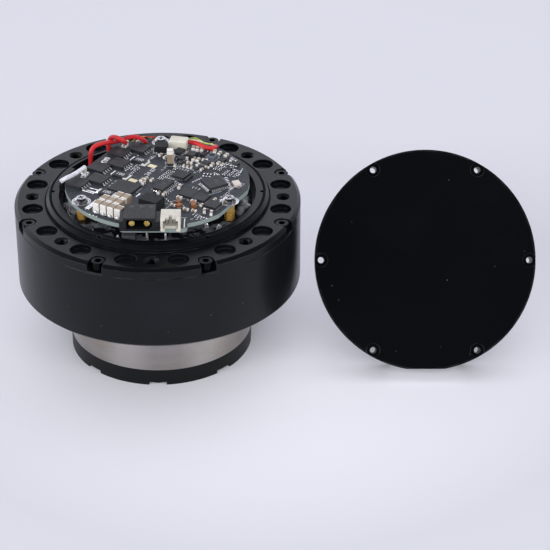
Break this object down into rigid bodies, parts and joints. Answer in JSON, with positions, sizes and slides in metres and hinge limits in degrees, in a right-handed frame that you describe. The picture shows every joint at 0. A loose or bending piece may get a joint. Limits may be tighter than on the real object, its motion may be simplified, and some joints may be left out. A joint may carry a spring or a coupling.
{
  "type": "robot joint actuator",
  "caption": "Robot joint actuator: black flat motor housing on a steel-ringed planetary gearbox, its controller board open at the rear and its round cover taken off.",
  "frame": {"origin": "centre of the output flange's face, which is flush with the front cap's face, at the base", "axes": "+Z along the rotation axis, from the output towards the controller board; -Y towards the connectors"},
  "size_m": [0.1789, 0.098, 0.069],
  "materials": {
    "black_anodised": "satin anodised",
    "black_cap": "satin anodised",
    "bare_steel": "turned",
    "gear_steel": "ground",
    "bearing_steel": "polished",
    "shaft_steel": "turned",
    "black_screws": "black oxide",
    "bright_screws": "nickel plated",
    "brass": "plated",
    "tinned_pins": "tinned",
    "magnet_nickel": "nickel plated",
    "laminations": "oxide",
    "enamelled_copper": "enamelled copper",
    "board_mask": "matte solder mask",
    "chip_black": "moulded epoxy",
    "shunt_grey": "matte",
    "ceramic_brown": "ceramic",
    "tantalum_orange": "moulded",
    "crystal_beige": "ceramic",
    "connector_black": "moulded",
    "connector_white": "moulded",
    "lead_red": "silicone",
    "lead_white": "braided sleeve"
  },
  "bodies": {
    "housing": {"main_housing": "black_anodised", "rear_housing": "black_anodised", "rear_housing_screws": "black_screws", "ring_gear": "bare_steel", "gearbox_screws": "black_screws", "front_cap": "black_cap", "front_cap_screws": "black_screws", "output_bearing_outer": "bearing_steel", "front_bearing_outer": "bearing_steel", "rear_bearing_outer": "bearing_steel", "stator_core": "laminations", "windings": "enamelled_copper", "controller_board": "board_mask", "standoffs": "brass", "board_screws": "bright_screws", "power_transistors": "chip_black", "shunt_resistors": "shunt_grey", "bulk_capacitors": "ceramic_brown", "logic_chips": "chip_black", "processor": "chip_black", "power_inductor": "chip_black", "small_capacitors": "tantalum_orange", "crystal": "crystal_beige", "standing_capacitor": "ceramic_brown", "bus_choke": "chip_black", "encoder_chip": "chip_black", "power_connector": "connector_black", "power_pins": "brass", "signal_connector": "connector_white", "signal_pins": "tinned_pins", "sensor_plug": "connector_white", "phase_lead_a": "lead_red", "phase_lead_b": "lead_red", "phase_lead_c": "lead_white", "sensor_leads": "lead_red", "rear_cover": "black_anodised"},
    "rotor": {"rotor_shaft": "shaft_steel", "rotor_can": "shaft_steel", "magnets": "magnet_nickel", "stage1_sun": "gear_steel", "encoder_magnet": "magnet_nickel", "front_bearing_inner": "bearing_steel", "rear_bearing_inner": "bearing_steel"},
    "first_carrier": {"stage1_carrier": "bare_steel", "stage2_sun": "gear_steel"},
    "output": {"output_flange": "bare_steel", "output_carrier": "bare_steel", "carrier_screws": "black_screws", "output_bearing_inner": "bearing_steel"},
    "stage1_planet_a": {"stage1_planet_a": "gear_steel"},
    "stage1_planet_b": {"stage1_planet_b": "gear_steel"},
    "stage1_planet_c": {"stage1_planet_c": "gear_steel"},
    "stage2_planet_a": {"stage2_planet_a": "gear_steel"},
    "stage2_planet_b": {"stage2_planet_b": "gear_steel"},
    "stage2_planet_c": {"stage2_planet_c": "gear_steel"}
  },
  "joints": [
    {"name": "rotor_spin", "type": "hinge", "parent": "housing", "child": "rotor", "pos_m": [0, 0, 0.04], "axis": [0, 0, 1], "continuous": true},
    {"name": "first_carrier_spin", "type": "hinge", "parent": "housing", "child": "first_carrier", "pos_m": [0, 0, 0.019], "axis": [0, 0, 1], "continuous": true},
    {"name": "output_spin", "type": "hinge", "parent": "housing", "child": "output", "pos_m": [0, 0, 0.006], "axis": [0, 0, 1], "continuous": true},
    {"name": "stage1_planet_a_spin", "type": "hinge", "parent": "first_carrier", "child": "stage1_planet_a", "pos_m": [0.0144, 0, 0.0226], "axis": [0, 0, 1], "continuous": true},
    {"name": "stage1_planet_b_spin", "type": "hinge", "parent": "first_carrier", "child": "stage1_planet_b", "pos_m": [-0.0072, 0.01247, 0.0226], "axis": [0, 0, 1], "continuous": true},
    {"name": "stage1_planet_c_spin", "type": "hinge", "parent": "first_carrier", "child": "stage1_planet_c", "pos_m": [-0.0072, -0.01247, 0.0226], "axis": [0, 0, 1], "continuous": true},
    {"name": "stage2_planet_a_spin", "type": "hinge", "parent": "output", "child": "stage2_planet_a", "pos_m": [0.0144, 0, 0.015], "axis": [0, 0, 1], "continuous": true},
    {"name": "stage2_planet_b_spin", "type": "hinge", "parent": "output", "child": "stage2_planet_b", "pos_m": [-0.0072, 0.01247, 0.015], "axis": [0, 0, 1], "continuous": true},
    {"name": "stage2_planet_c_spin", "type": "hinge", "parent": "output", "child": "stage2_planet_c", "pos_m": [-0.0072, -0.01247, 0.015], "axis": [0, 0, 1], "continuous": true}
  ],
  "couplings": [
    {"joint": "first_carrier_spin", "follows": "rotor_spin", "ratio": 0.16667},
    {"joint": "output_spin", "follows": "rotor_spin", "ratio": 0.027778},
    {"joint": "stage1_planet_a_spin", "follows": "rotor_spin", "ratio": -0.41667},
    {"joint": "stage1_planet_b_spin", "follows": "rotor_spin", "ratio": -0.41667},
    {"joint": "stage1_planet_c_spin", "follows": "rotor_spin", "ratio": -0.41667},
    {"joint": "stage2_planet_a_spin", "follows": "rotor_spin", "ratio": -0.069444},
    {"joint": "stage2_planet_b_spin", "follows": "rotor_spin", "ratio": -0.069444},
    {"joint": "stage2_planet_c_spin", "follows": "rotor_spin", "ratio": -0.069444}
  ]
}
